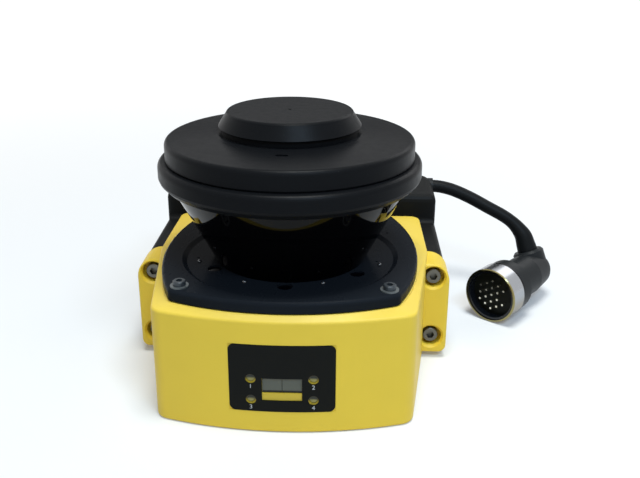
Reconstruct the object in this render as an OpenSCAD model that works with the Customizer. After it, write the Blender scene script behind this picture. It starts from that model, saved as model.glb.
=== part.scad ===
// Safety laser scanner: yellow cast base, black optics plate, inverted window cone,
// round scan head, black connection housing at the rear and a short lead with a
// circular multi-pin connector.
// Millimetres. +Z is up, the front faces -Y, and the scan axis is the Z axis with
// the underside of the base at z = 0.

/* [Base housing] */
// Height of the base housing
base_h = 50; // [48:0.5:51]
// Rise of the sloped shoulder from the upper edge to the optics plate
pad_rise = 1.4; // [1:0.1:2.5]
// Scan axis to the front of the base
base_front = 56.8; // [55.6:0.2:58]
// Scan axis to the rear wall of the base
base_rear = 70.5; // [68:0.5:76]
// Width across the two front corners
front_w = 107; // [105:0.5:110]
// Width across the rear half of the flanks
flank_w = 124; // [123:0.5:127]
// Radius that the front face is bowed to
front_bow_r = 162; // [150:1:260]
// Radius of the upright front corners
front_corner_r = 7; // [5:0.5:9]
// Radius of the upright rear corners of the casting
back_corner_r = 5; // [3:0.5:9]
// Wall thickness of the casting
base_wall = 3.5; // [2.5:0.25:4]
// Thickness of the roof where it meets the walls
base_roof = 3; // [2.4:0.2:4]
// Rounding of the lower edge
base_foot_r = 1; // [0.6:0.2:2]
// Rounding of the upper edge
base_edge_r = 1.4; // [0.6:0.2:2]
// Thickness of the cover under the base
cover_t = 3; // [2.5:0.25:4]

/* [Side ears] */
// Width over both ears
ear_span = 143.6; // [142:0.4:150]
// Scan axis to the front face of the ears
ear_front = 8; // [4:0.5:11]
// Depth of an ear
ear_t = 16; // [14:0.5:20]
// Height of the underside of the ears
ear_z = 2.6; // [2:0.2:5]
// Radius of the upper outer corner of an ear
ear_top_r = 9; // [6:0.5:12]
// Distance between the two ear screws
ear_screw_gap = 29.8; // [26:0.2:31]
// Height of the lower ear screw
ear_screw_z = 11.2; // [10.6:0.2:12]
// Diameter of the ear counterbores
ear_bore_d = 10; // [9:0.25:11]
// Depth of the ear counterbores
ear_bore_depth = 5.5; // [4.5:0.25:7]
// Shank diameter of the ear screws
ear_screw_d = 4; // [3:0.5:5]

/* [Optics plate] */
// Thickness of the optics plate
plate_t = 4.7; // [4.4:0.1:5.6]
// Scan axis to the front lip of the plate
plate_front = 54.4; // [53.6:0.1:55]
// Scan axis to the rear edge of the plate
plate_rear = 58; // [56:0.5:62]
// Widest width of the plate
plate_w = 111.4; // [110:0.2:113]
// Radius that the front lip is bowed to
plate_bow_r = 108; // [102:1:130]
// Radius that the plate's sides are bowed to
plate_side_r = 115; // [110:1:140]
// Radius of the plate's front corners
plate_corner_r = 5; // [4.5:0.25:6]
// Depth of the round dish in the plate
dish_depth = 1.2; // [0.8:0.1:1.5]
// Radius of the dish
dish_r = 46.9; // [46:0.1:48]
// Shank diameter of the plate screws
plate_screw_d = 3; // [2.5:0.5:3.5]
// Thickness of the gasket under the plate
gasket_t = 0.6; // [0.4:0.1:1]

/* [Window] */
// Outer radius of the window cone at its foot
window_foot_r = 32.7; // [32.2:0.1:33]
// Outer radius of the window cone at the head
window_top_r = 50.8; // [48:0.2:51.2]
// Wall thickness of the window
window_wall = 1.8; // [1.4:0.1:2.4]

/* [Scan head] */
// Height of the head's underside
head_z = 90; // [88:0.5:98]
// Radius of the head ring
ring_r = 55.7; // [54.8:0.1:58]
// Height of the head ring
ring_h = 10; // [9.5:0.25:12]
// Rounding of the head ring's shoulder
ring_shoulder_r = 2.6; // [1.5:0.1:3]
// Radius of the head cover
head_cover_r = 52.5; // [52:0.1:53]
// Height of the head cover at its rim
head_cover_h = 8.6; // [8:0.2:11]
// Wall thickness of the head cover
head_cover_wall = 2.4; // [1.8:0.1:3]
// Rise of the head cover from its rim to the cap
head_crown = 2; // [1:0.2:3]
// Largest radius of the top cap
cap_r = 29.9; // [28.6:0.1:31.5]
// Radius of the flat top of the cap
cap_top_r = 26.4; // [23:0.2:27]
// Height of the top cap
cap_h = 9.2; // [8:0.2:12]
// Wall thickness of the top cap
cap_wall = 2.2; // [1.6:0.1:2.8]

/* [Receiver and laser] */
// Radius of the receiver lens
lens_r = 24; // [20:0.5:28]
// Edge thickness of the receiver lens
lens_edge_t = 3; // [2.5:0.25:4]
// Rise of the lens dome
lens_dome = 3; // [2:0.25:3.5]
// Radius of the laser module
laser_r = 4.5; // [3.5:0.25:5.5]
// Radius of the receiver board
receiver_board_r = 40; // [34:0.5:42]
// Thickness of every circuit board
board_t = 1.6; // [1.2:0.2:2]

/* [Rotor] */
// Radius of the rotor shaft
shaft_r = 3; // [2.5:0.1:3.5]
// Outer radius of the two ball bearings
bearing_r = 8; // [7.5:0.25:9]
// Height of a ball bearing
bearing_h = 5; // [4:0.25:6]
// Radius of the motor can
motor_r = 19; // [17:0.5:22]
// Height of the motor can
motor_h = 23; // [20:0.5:26]
// Radius of the encoder disc
encoder_r = 17; // [15:0.5:18]
// Number of slots in the encoder disc
encoder_slots = 24; // [12:4:32]
// Radius of the tilted mirror
mirror_r = 16; // [14:0.5:18]
// Thickness of the tilted mirror
mirror_t = 2.4; // [1.8:0.2:3]
// Height of the mirror's centre
mirror_z = 79; // [77.5:0.5:79.5]

/* [Front panel] */
// Width of the label
label_w = 42.6; // [38:0.2:46]
// Height of the label
label_h = 30; // [28:0.2:33]
// Height of the label's lower edge
label_z = 9.6; // [8:0.2:10.6]
// Width of the display window
display_w = 16; // [14:0.2:17]
// Height of the display window
display_h = 6.8; // [6:0.2:8]
// Distance between the two columns of lamps
lamp_gap_x = 25; // [23:0.2:27]
// Distance between the two rows of lamps
lamp_gap_z = 9.4; // [8:0.2:10.6]
// Diameter of the lamps
lamp_d = 3; // [2:0.2:3.4]

/* [Rear housing] */
// Width over the rear housing and its arms
rear_w = 140.8; // [139:0.2:142.4]
// Depth of the rear box
rear_depth = 40; // [36:0.5:44]
// Height of the rear box
rear_h = 59.5; // [59:0.5:64]
// Rounding of the top edge of the rear box
rear_edge_r = 4; // [2:0.25:5]
// Radius of the upright rear corners
rear_corner_r = 10; // [8:0.5:12]
// Wall thickness of the rear housing
rear_wall = 3; // [2.5:0.25:4]
// Height of the arms along the base
arm_top = 44.4; // [42:0.2:44.6]
// Width of an arm
arm_w = 11.4; // [10.8:0.1:11.8]
// Thickness of the seal between the base and the rear housing
link_seal_t = 1.5; // [1:0.1:2]
// Thickness of the rear cover
rear_cover_t = 5; // [4:0.25:6]
// Distance between the mounting holes across the rear cover
mount_gap_x = 84; // [76:1:88]
// Distance between the mounting holes up the rear cover
mount_gap_z = 34; // [30:0.5:36]
// Diameter of the threaded mounting holes
mount_hole_d = 4.2; // [4:0.1:5]

/* [Lead and connector] */
// Diameter of the lead
lead_d = 6.8; // [6:0.1:7.4]
// Outer radius of the coupling ring
coupling_r = 14.2; // [13.8:0.1:14.8]
// Length of the coupling ring
coupling_l = 11.3; // [9:0.1:12]
// Wall thickness of the coupling ring
coupling_wall = 1; // [0.8:0.05:1.2]
// Radius of the collar behind the coupling ring
collar_r = 13.5; // [13.3:0.1:14]
// Length of the collar behind the coupling ring
collar_l = 8.5; // [7:0.25:10]
// Radius of the connector hood
hood_r = 10.6; // [9.8:0.1:11.5]
// Radius of the elbow at the back of the hood
elbow_r = 9.4; // [8.4:0.1:10]
// Depth of the connector's face below its rim
socket_depth = 5; // [4.5:0.25:7]
// Distance between neighbouring contact pins
pin_pitch = 3.75; // [3.4:0.05:3.8]
// Diameter of a contact pin
pin_d = 1.1; // [0.8:0.1:1.3]

/* [Fits] */
// Clearance round pieces that are fitted and stay put
fit_gap = 0.1; // [0.05:0.05:0.25]
// Radial clearance of the running fits
running_gap = 0.06; // [0.03:0.01:0.1]
// Gap between moving pieces and what they pass
moving_gap = 0.5; // [0.4:0.1:0.8]

/* [Hidden] */
$fn = 96;

yellow = "#f2d34a";
black = "#23262a";
gloss_black = "#141518";
steel = "#8f9296";
brass = "#c9a24b";
board_green = "#1f5b38";

// Room that a cut runs past the faces that it opens
over = 1;

// Base and ears
ear_x = ear_span / 2;
ear_back = ear_front + ear_t;
ear_top = base_h - 2.4;
ear_chamfer = 1;
ear_screw_x = ear_x - 7.4;
ear_screw_rows = [ear_screw_z, ear_screw_z + ear_screw_gap];
ear_head_r = ear_screw_d * 0.875;
ear_thread_l = 12;
arm_in = rear_w / 2 - arm_w;
arm_gap = 0.4;
base_in_x = arm_in - arm_gap - base_wall;
pad_h = base_h + pad_rise;
roof_z = base_h - base_roof;
roof_depth = pad_h - roof_z + 2 * over;
post_r = 4.5;
post_places = [[44, -32], [50, 16], [48, 58]];

// Optics plate
plate_z = pad_h + gasket_t;
plate_top = plate_z + plate_t;
dish_z = plate_top - dish_depth;
dish_y = -3.8;
plate_side_y = 2.6;
plate_rear_corner_r = 8;
plate_screw_head_h = 2;
washer_t = 0.5;
washer_r = plate_screw_d * 1.25;
plate_screw_l = 9;
window_hole_r = window_foot_r - window_wall - 2.4;
sensor_r = window_foot_r + 3.7;
sensor_d = 6.4;
sensor_angles = [-148, -90, -37];
dome_d = 2;
// Angle of each dome and how far it lies outside the ring of the sensors
dome_places = [[-117, 0.5], [-65, -0.4], [-17.5, 4.2], [197.5, 4.2]];
pinhole_places = [[37.6, -8.6], [-39.8, -7.7], [43.2, 23.1], [-43.2, 23.1]];

// Window and head
window_slope = (window_top_r - window_foot_r) / (head_z - dish_z);
window_rim_h = 1.6;
ring_top = head_z + ring_h;
ring_bore_r = 45;
ledge_in_r = 42;
ledge_z = head_z + window_rim_h + 1;
ledge_t = 2.4;
cover_top = ring_top + head_cover_h;
crown_top = cover_top + head_crown;
cap_neck = 2.4;
cap_seat_r = cap_r - 1.3;
cap_top = crown_top + cap_h;
head_hole_r = cap_top_r - 0.4;
head_seal_t = 1;
head_screw_count = 6;
head_screw_ring_r = ring_bore_r + 2.3;
head_seal_r = ring_bore_r + 4.2;

// Head optics
holder_z = ledge_z + ledge_t;
holder_t = 2.6;
lens_z = holder_z - 1;
lens_lip = 1.6;
lens_wall = 2.6;
laser_top = holder_z + 13;
receiver_z = holder_z + holder_t + 5;

// Rotor stack
bracket_t = 3;
bracket_z = plate_z - bracket_t;
bracket_r = 28;
bracket_screw_l = 5.6;
quill_top = plate_top + 3;
quill_wall = 2.4;
motor_wall = 1.4;
stator_r = motor_r - motor_wall;
magnet_r = stator_r - 6;
motor_z = bracket_z - motor_h;
encoder_z = quill_top + 1.4;
encoder_t = 1;
holder_hub_r = 7;
mirror_hub_z = encoder_z + encoder_t;

// Front panel
label_depth = 0.3;
label_proud = 0.15;
label_mid = label_z + label_h / 2;
display_z = label_z + 8.4;
strip_h = 3.2;
lamp_z = label_z + 5.4;
front_bow_y = front_bow_r - base_front;

// Rear housing
rear_front = base_rear + link_seal_t;
rear_back = rear_front + rear_depth;
rear_x = rear_w / 2;
cover_half = rear_x - rear_corner_r - 2;
cover_z0 = 6;
cover_z1 = rear_h - rear_edge_r - 1.5;
cover_mid = (cover_z0 + cover_z1) / 2;
cover_screw_x = cover_half - 5;
cover_screw_z = (cover_z1 - cover_z0) / 2 - 5;
link_w = 40;
link_h = 16;
link_z = 26;

// Lead: its route from the gland to the boot, as points chosen by hand
lead_r = lead_d / 2;
lead_shift = [rear_x - 70.4, rear_front - 72, 0];
route_points = [
    [70.4, 102, 55], [72, 102, 55], [73.6, 102, 55], [77.5, 101.5, 54.5], [82, 101, 53.5],
    [86, 100, 52], [90, 99, 50.5], [93.5, 98, 49], [97, 96.5, 47.5],
    [101, 95, 45.5], [104.5, 94, 44], [108.5, 92.5, 42.3], [112, 91.5, 40.3],
    [115.5, 90.3, 37.8], [118.3, 89, 34.9], [120.4, 88, 31.6]
];
route = [for (p = route_points) p + lead_shift];
lead_exit = route[0];
gland_r = lead_r + 1;

// Connector: its face, the turn of its axis from +X, and the elbow
face_at = [97.5, 47.5, coupling_r] + lead_shift;
face_turn = 51;
elbow_at = 46;
elbow_tilt = 24;
elbow_neck = 11;
shell_gap = 0.5;
spigot_r = coupling_r - coupling_wall - running_gap;
collar_z = coupling_l + shell_gap;
shell_wall = 1.2;
insert_r = spigot_r - shell_wall;

// ---------------------------------------------------------------- outlines

// Angle of the outward normal where a belt leaves circle a for circle b.
// A circle is [x, y, radius, steps].
function leave(a, b) =
    let (d = [b[0] - a[0], b[1] - a[1]])
    atan2(d[1], d[0]) - acos(max(-1, min(1, (a[2] - b[2]) / norm(d))));

// Points of a belt stretched anticlockwise round circles, moved in by inset
function belt(circles, inset = 0) =
    let (n = len(circles))
    [for (i = [0 : n - 1])
        let (
            c = circles[i],
            a0 = leave(circles[(i + n - 1) % n], c),
            a1 = leave(c, circles[(i + 1) % n]),
            sweep = (a1 - a0 + 720) % 360
        )
        for (k = [0 : c[3]])
            let (a = a0 + sweep * k / c[3])
            [c[0] + (c[2] - inset) * cos(a), c[1] + (c[2] - inset) * sin(a)]];

// Heights and insets of a slab with its lower and upper edges rounded
function slab(z0, z1, r0, r1, steps = 4) = concat(
    r0 > 0
        ? [for (k = [0 : steps]) let (a = 90 - 90 * k / steps)
            [z0 + r0 * (1 - sin(a)), r0 * (1 - cos(a))]]
        : [[z0, 0]],
    r1 > 0
        ? [for (k = [0 : steps]) let (a = 90 * k / steps)
            [z1 - r1 + r1 * sin(a), r1 * (1 - cos(a))]]
        : [[z1, 0]]
);

// Solid through rings of points that all have the same count. The faces above ring
// number flat are split in two, for bands whose four corners aren't in one plane.
module skin(rings, flat = 999) {
    n = len(rings[0]);
    m = len(rings);
    sides = [for (k = [0 : m - 2]) for (i = [0 : n - 1])
        let (
            j = (i + 1) % n,
            a = k * n + i,
            b = (k + 1) * n + i,
            c = (k + 1) * n + j,
            d = k * n + j
        )
        each k < flat ? [[a, b, c, d]] : [[a, b, c], [a, c, d]]];
    polyhedron(
        points = [for (ring = rings) for (p = ring) p],
        faces = concat(
            [[for (i = [0 : n - 1]) i]],
            sides,
            [[for (i = [n - 1 : -1 : 0]) (m - 1) * n + i]]
        )
    );
}

// Slab of a belt outline with rounded edges
module soft_slab(circles, profile) {
    skin([for (p = profile) [for (q = belt(circles, p[1])) [q[0], q[1], p[0]]]]);
}

// Extrusion from y0 to y1 of a profile drawn in x and z
module along_y(y0, y1) {
    translate([0, y1, 0]) rotate([90, 0, 0]) linear_extrude(y1 - y0) children();
}

// Cylinder along +Y
module rod_y(x, y0, z, r, l) {
    translate([x, y0, z]) rotate([-90, 0, 0]) cylinder(r = r, h = l);
}

module ring(r_out, r_in, z0, z1) {
    translate([0, 0, z0]) difference() {
        cylinder(r = r_out, h = z1 - z0);
        translate([0, 0, -over]) cylinder(r = r_in, h = z1 - z0 + 2 * over);
    }
}

module both_sides() {
    for (s = [0, 1]) mirror([s, 0, 0]) children();
}

// Circles of a box outline with four rounded corners
function corners(x, y0, y1, r, steps = 4) = [
    [-x + r, y0 + r, r, steps], [x - r, y0 + r, r, steps],
    [x - r, y1 - r, r, steps], [-x + r, y1 - r, r, steps]
];

// Socket-head screw along +Z with its seat at z = 0
module socket_screw(d, l, head_r, head_h) {
    difference() {
        rotate_extrude($fn = 48) polygon([
            [0, -head_h], [head_r - 0.3, -head_h], [head_r, 0.3 - head_h], [head_r, 0],
            [d / 2, 0], [d / 2, l - 0.3], [d / 2 - 0.3, l], [0, l]
        ]);
        translate([0, 0, -head_h - over])
            cylinder(r = d * 0.47, h = head_h * 0.6 + over, $fn = 6);
    }
}

// ---------------------------------------------------------------- base

front_corner_x = front_w / 2 - front_corner_r;
front_corner_y = front_bow_y
    - sqrt(pow(front_bow_r - front_corner_r, 2) - pow(front_corner_x, 2));
knee_r = 60;
base_belt = [
    [0, front_bow_y, front_bow_r, 24],
    [front_corner_x, front_corner_y, front_corner_r, 8],
    [flank_w / 2 - knee_r, 22, knee_r, 16],
    [flank_w / 2 - 0.6 - back_corner_r, base_rear - back_corner_r, back_corner_r, 8],
    [-flank_w / 2 + 0.6 + back_corner_r, base_rear - back_corner_r, back_corner_r, 8],
    [-flank_w / 2 + knee_r, 22, knee_r, 16],
    [-front_corner_x, front_corner_y, front_corner_r, 8]
];
// The same outline where the walls meet the shoulder: its rear edge leans forward
crease_lean = 3.7;
crease_belt = [for (c = base_belt)
    [c[0], c[1] - (c[1] > 40 && c[2] < 40 ? crease_lean : 0), c[2], c[3]]];
ear_edge_r = 1.4;
ear_root = 50;
ear_belt = [
    [ear_root, ear_z + 2, 2, 2], [ear_x - 3.5, ear_z + 3.5, 3.5, 5],
    [ear_x - ear_top_r, ear_top - ear_top_r, ear_top_r, 8],
    [ear_root, ear_top - 2, 2, 2]
];

// Layer on the bowed front face, from depth below it to proud of it, in a box
module front_band(depth, proud, half, z0, z1) {
    intersection() {
        translate([0, front_bow_y, z0]) difference() {
            cylinder(r = front_bow_r + proud, h = z1 - z0, $fn = 360);
            translate([0, 0, -over])
                cylinder(r = front_bow_r - depth, h = z1 - z0 + 2 * over, $fn = 360);
        }
        translate([-half, -base_front - 4, z0]) cube([2 * half, 12, z1 - z0]);
    }
}

module base_inside() {
    translate([0, 0, -over]) intersection() {
        linear_extrude(roof_z + over) polygon(belt(base_belt, base_wall));
        translate([-base_in_x, -base_front, 0])
            cube([2 * base_in_x, base_front + base_rear, roof_z + over]);
    }
}

module base_posts(r, z0, z1) {
    both_sides() for (p = post_places)
        translate([p[0], p[1], z0]) cylinder(r = r, h = z1 - z0);
}

// Ribs that tie the posts to the walls and stiffen the roof
module base_ribs() {
    both_sides() {
        for (p = [post_places[1], post_places[2]])
            translate([p[0], p[1] - 1.2, cover_t + 3])
                cube([base_in_x + 0.5 - p[0], 2.4, roof_z - cover_t - 2.5]);
        translate([post_places[0][0] - 1.2, post_places[0][1] - 12, cover_t + 3])
            cube([2.4, 12, roof_z - cover_t - 2.5]);
        translate([35, 16 - 1.2, roof_z - 6]) cube([16, 2.4, 6.5]);
    }
}

// Outside of the casting: rounded foot, upright walls, a softened crease and a
// shoulder that slopes up to the outline of the optics plate
module base_body() {
    foot = [for (k = [0 : 4]) let (a = 90 - 22.5 * k)
        [base_foot_r * (1 - sin(a)), base_foot_r * (1 - cos(a))]];
    walls = concat(foot, [[base_h - 4, 0]]);
    crease = [for (k = [0 : 3]) let (a = 20 * k)
        [base_h - base_edge_r * (1 - sin(a)), base_edge_r * (1 - cos(a))]];
    skin(concat(
        [for (p = walls) [for (q = belt(base_belt, p[1])) [q[0], q[1], p[0]]]],
        [for (p = crease) [for (q = belt(crease_belt, p[1])) [q[0], q[1], p[0]]]],
        [for (p = [[pad_h - 0.3, -0.3], [pad_h, -0.1]])
            [for (q = belt(plate_belt, p[1])) [q[0], q[1], p[0]]]]
    ), len(walls) - 1);
}

module base_housing() color(yellow) {
    difference() {
        union() {
            difference() {
                union() {
                    base_body();
                    both_sides() translate([0, ear_back, 0]) rotate([90, 0, 0])
                        soft_slab(ear_belt, slab(0, ear_t, 0, ear_edge_r));
                }
                base_inside();
            }
            base_posts(post_r, cover_t, roof_z + 0.5);
            base_ribs();
        }
        // Steps in the flanks for the arms of the rear housing
        both_sides() translate([arm_in - arm_gap, ear_back, -over])
            cube([20, base_rear, arm_top + arm_gap + over]);
        // Room for the motor, and the rear way through for the link connector
        translate([0, 0, roof_z - over])
            cylinder(r = bracket_r + 1, h = roof_depth);
        translate([-link_w / 2, base_rear - base_wall - over, link_z - link_h / 2])
            cube([link_w, base_wall + 2 * over, link_h]);
        // Screw holes
        base_posts(1.6, -over, cover_t + 10);
        both_sides() for (p = plate_screw_places)
            translate([p[0], p[1], roof_z - over])
                cylinder(r = plate_screw_d / 2 + fit_gap, h = roof_depth);
        both_sides() for (z = ear_screw_rows) {
            rod_y(ear_screw_x, ear_front - over, z, ear_bore_d / 2,
                ear_bore_depth + over);
            rod_y(ear_screw_x, ear_front, z, ear_screw_d / 2 + 0.25, ear_t + over);
            translate([ear_screw_x, ear_front - 0.01, z]) rotate([-90, 0, 0])
                cylinder(r1 = ear_bore_d / 2 + ear_chamfer, r2 = ear_bore_d / 2,
                    h = ear_chamfer);
        }
        // Label pocket, display window and lamp holes
        front_band(label_depth, 3, label_w / 2, label_z, label_z + label_h);
        translate([-display_w / 2, -base_front - over, display_z])
            cube([display_w, base_wall + 2 * over, display_h]);
        lamp_places() rod_y(0, -base_front - over, 0, lamp_d / 2 + 0.2,
            base_wall + 3 * over);
    }
}

module lamp_places() {
    for (x = [-1, 1], k = [0, 1])
        translate([x * lamp_gap_x / 2, 0, lamp_z + k * lamp_gap_z]) children();
}

module bottom_cover() color(black) {
    difference() {
        union() {
            intersection() {
                linear_extrude(cover_t) polygon(belt(base_belt, base_wall + fit_gap));
                translate([fit_gap - base_in_x, -base_front, 0])
                    cube([2 * (base_in_x - fit_gap), base_front + base_rear, cover_t]);
            }
            board_posts(3.2, cover_t - 0.5, main_board_z);
        }
        board_posts(1.3, cover_t - 1, main_board_z + over);
        base_posts(1.8, -over, cover_t + over);
        base_posts(3.2, -over, 1.4);
    }
}

module bottom_screws() color(steel) {
    both_sides() for (p = post_places) translate([p[0], p[1], 1.4])
        socket_screw(3, 9, 2.9, 1.1);
}

// ---------------------------------------------------------------- optics plate

plate_front_c = [0, plate_bow_r - plate_front];
plate_side_c = [plate_w / 2 - plate_side_r, plate_side_y];

// Upper right or lower right meeting point of two circles
function meet(c1, r1, c2, r2) =
    let (
        d = c2 - c1,
        l = norm(d),
        a = (r1 * r1 - r2 * r2 + l * l) / (2 * l),
        h = sqrt(r1 * r1 - a * a),
        u = d / l
    )
    c1 + a * u + h * [-u[1], u[0]];

plate_corner = meet(plate_front_c, plate_bow_r - plate_corner_r,
    plate_side_c, plate_side_r - plate_corner_r);
plate_rear_y = plate_rear - plate_rear_corner_r;
plate_rear_x = plate_side_c[0]
    + sqrt(pow(plate_side_r - plate_rear_corner_r, 2)
        - pow(plate_rear_y - plate_side_y, 2));
plate_belt = [
    [0, plate_front_c[1], plate_bow_r, 24],
    [plate_corner[0], plate_corner[1], plate_corner_r, 8],
    [plate_side_c[0], plate_side_c[1], plate_side_r, 16],
    [plate_rear_x, plate_rear_y, plate_rear_corner_r, 8],
    [-plate_rear_x, plate_rear_y, plate_rear_corner_r, 8],
    [-plate_side_c[0], plate_side_c[1], plate_side_r, 16],
    [-plate_corner[0], plate_corner[1], plate_corner_r, 8]
];
plate_screw_places = [plate_corner, [plate_rear_x, plate_rear_y]];

module plate_gasket() color(black) {
    difference() {
        translate([0, 0, pad_h])
            linear_extrude(gasket_t) polygon(belt(plate_belt, 1.2));
        translate([0, 0, pad_h - over])
            cylinder(r = bracket_r + 3, h = gasket_t + 2 * over);
        both_sides() for (p = plate_screw_places) translate([p[0], p[1], pad_h - over])
            cylinder(r = plate_screw_d / 2 + 0.3, h = gasket_t + 2 * over);
    }
}

module at_sensors() {
    for (a = sensor_angles) rotate([0, 0, a]) translate([sensor_r, 0, 0]) children();
}

module at_domes() {
    for (p = dome_places) rotate([0, 0, p[0]]) translate([sensor_r + p[1], 0, 0])
        children();
}

module optics_plate() color(gloss_black) {
    difference() {
        soft_slab(plate_belt, slab(plate_z, plate_top, 0, 1.6));
        // Dish with a sloped rim
        translate([0, dish_y, dish_z])
            cylinder(r1 = dish_r - 2, r2 = dish_r - 1.9 + dish_depth * 1.6, h = dish_depth + 0.01);
        translate([0, 0, plate_z - over])
            cylinder(r = bearing_r + quill_wall + fit_gap, h = plate_t + 2 * over);
        both_sides() for (p = plate_screw_places) translate([p[0], p[1], plate_z - over])
            cylinder(r = plate_screw_d / 2 + 0.2, h = plate_t + 2 * over);
        for (a = [30 : 120 : 270]) rotate([0, 0, a])
            translate([bracket_r - 5, 0, plate_z - over])
                cylinder(r = 1.35, h = over + bracket_screw_l - bracket_t + 0.1);
        translate([0, 0, dish_z - 2]) at_sensors() cylinder(d = sensor_d, h = 3);
        translate([0, 0, dish_z - 1]) at_domes() cylinder(d = dome_d, h = 2);
        for (p = pinhole_places) translate([p[0], p[1], dish_z - 0.8])
            cylinder(r = 0.6, h = dish_depth + 2, $fn = 24);
    }
}

module plate_screws() color(steel) {
    both_sides() for (p = plate_screw_places)
        translate([p[0], p[1], plate_top + washer_t]) mirror([0, 0, 1])
            socket_screw(plate_screw_d, plate_screw_l, plate_screw_d * 0.87,
                plate_screw_head_h);
}

module plate_washers() color(steel) {
    both_sides() for (p = plate_screw_places) translate([p[0], p[1], 0])
        ring(washer_r, plate_screw_d / 2 + fit_gap, plate_top, plate_top + washer_t);
}

module sensor_windows() color("#0b0b10") {
    translate([0, 0, dish_z - 2]) at_sensors() cylinder(d = sensor_d - 2 * fit_gap, h = 1.2);
}

module sensor_domes() color("#d8d8de") {
    translate([0, 0, dish_z - 1]) at_domes() {
        cylinder(d = dome_d - 2 * fit_gap, h = 1);
        translate([0, 0, 1]) intersection() {
            sphere(d = dome_d - 2 * fit_gap, $fn = 24);
            cylinder(d = dome_d, h = dome_d);
        }
    }
}

// ---------------------------------------------------------------- window

function window_r(z) = window_foot_r + window_slope * (z - dish_z);

module scan_window() color("#101114") {
    rotate_extrude($fn = 160) polygon([
        [window_foot_r - window_wall - 2, dish_z],
        [window_foot_r, dish_z],
        [window_top_r, head_z],
        [window_top_r, head_z + window_rim_h],
        [window_top_r - window_wall, head_z + window_rim_h],
        [window_top_r - window_wall, head_z],
        [window_r(dish_z + 2) - window_wall - 0.2, dish_z + 2],
        [window_foot_r - window_wall - 2, dish_z + 2]
    ]);
}

module window_seal() color("#2b2b2b") {
    translate([0, 0, dish_z]) rotate_extrude()
        translate([window_foot_r - window_wall - 3.2, 0.9]) circle(r = 0.9, $fn = 24);
}

// ---------------------------------------------------------------- scan head

module head_ring() color(black) {
    difference() {
        head_ring_body();
        head_screw_holes(1.1, ledge_z - over, ring_top + over);
    }
}

module head_ring_body() {
    s = ring_shoulder_r;
    rotate_extrude($fn = 160) difference() {
        polygon(concat(
            [[ledge_in_r, ledge_z], [window_top_r + fit_gap, ledge_z],
             [window_top_r + fit_gap, head_z], [ring_r - 2.6, head_z],
             [ring_r - 0.5, head_z + 2.2], [ring_r, head_z + 3.4]],
            [for (a = [0 : 15 : 90])
                [ring_r - s + s * cos(a), ring_top - s + s * sin(a)]],
            [[ring_bore_r, ring_top], [ring_bore_r, holder_z], [ledge_in_r, holder_z]]
        ));
        // Groove for the seal
        translate([head_seal_r - fit_gap, ring_top - head_seal_t])
            square([1.4 + 2 * fit_gap, head_seal_t + over]);
    }
}

module head_seal() color("#2b2b2b") {
    ring(head_seal_r + 1.4, head_seal_r, ring_top - head_seal_t, ring_top);
}

module head_cover() color(black) {
    e = 2.2;
    difference() {
        rotate_extrude($fn = 160) polygon(concat(
            [[head_cover_r - 0.4, ring_top], [head_cover_r, ring_top + 0.8]],
            [for (a = [0 : 15 : 90])
                [head_cover_r - e + e * cos(a), cover_top - e + e * sin(a)]],
            [[cap_r + 2, crown_top - 0.3], [cap_r + 0.4, crown_top],
             [head_hole_r, crown_top], [head_hole_r, cover_top - head_cover_wall],
             [head_cover_r - head_cover_wall - 2, cover_top - head_cover_wall],
             [head_cover_r - head_cover_wall, cover_top - head_cover_wall - 2],
             [head_cover_r - head_cover_wall, ring_top + 4],
             [ring_bore_r, ring_top + 4], [ring_bore_r, ring_top]]
        ));
        // Drain slot in front of the cap
        translate([-0.7, -36, crown_top - 1.6]) {
            for (x = [-1.6, 1.6]) translate([x, 0, 0]) cylinder(r = 0.9, h = 3, $fn = 24);
            translate([-1.6, -0.9, 0]) cube([3.2, 1.8, 3]);
        }
        head_screw_holes(1.1, ring_top - over, ring_top + 3.4);
    }
}

module at_head_screws() {
    for (k = [0 : head_screw_count - 1]) rotate([0, 0, 30 + 360 / head_screw_count * k])
        translate([head_screw_ring_r, 0, 0]) children();
}

module head_screw_holes(r, z0, z1) {
    at_head_screws() translate([0, 0, z0]) cylinder(r = r, h = z1 - z0);
}

module head_screws() color(steel) {
    at_head_screws() translate([0, 0, ledge_z])
        socket_screw(2, ring_top + 3 - ledge_z, 1.4, 1.1);
}

module top_cap() color(black) {
    difference() {
        union() {
            rotate_extrude($fn = 160) polygon(concat(
                [[0, crown_top], [cap_seat_r, crown_top],
                 [cap_seat_r, crown_top + cap_neck], [cap_r - 0.4, crown_top + cap_neck + 0.1],
                 [cap_r, crown_top + cap_neck + 0.6]],
                [for (a = [20 : 14 : 90])
                    [cap_top_r - 1.4 + 1.8 * cos(a), cap_top - 1.8 + 1.8 * sin(a)]],
                [[0, cap_top]]
            ));
            translate([0, 0, cap_top - 0.01]) cylinder(r = 0.7, h = 0.2, $fn = 24);
            // Spigot that snaps into the cover's hole
            translate([0, 0, crown_top - 2])
                cylinder(r = head_hole_r - fit_gap, h = 2.5);
        }
        translate([0, 0, crown_top - 4])
            cylinder(r = cap_top_r - cap_wall, h = cap_h - cap_wall + 4);
    }
}

module lens_holder() color("#303236") {
    difference() {
        union() {
            translate([0, 0, holder_z]) cylinder(r = ring_bore_r - fit_gap, h = holder_t);
            translate([0, 0, lens_z - lens_lip])
                cylinder(r = lens_r + lens_wall, h = holder_z + holder_t + 2 - lens_z + lens_lip);
            for (a = [45 : 90 : 315]) rotate([0, 0, a])
                translate([receiver_board_r - 4, 0, holder_z + holder_t - 0.01])
                    cylinder(r = 3, h = receiver_z - holder_z - holder_t + 0.01);
        }
        translate([0, 0, lens_z]) cylinder(r = lens_r + fit_gap, h = 30);
        translate([0, 0, lens_z - lens_lip - over]) cylinder(r = lens_r - 1.5, h = 10);
    }
}

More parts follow.
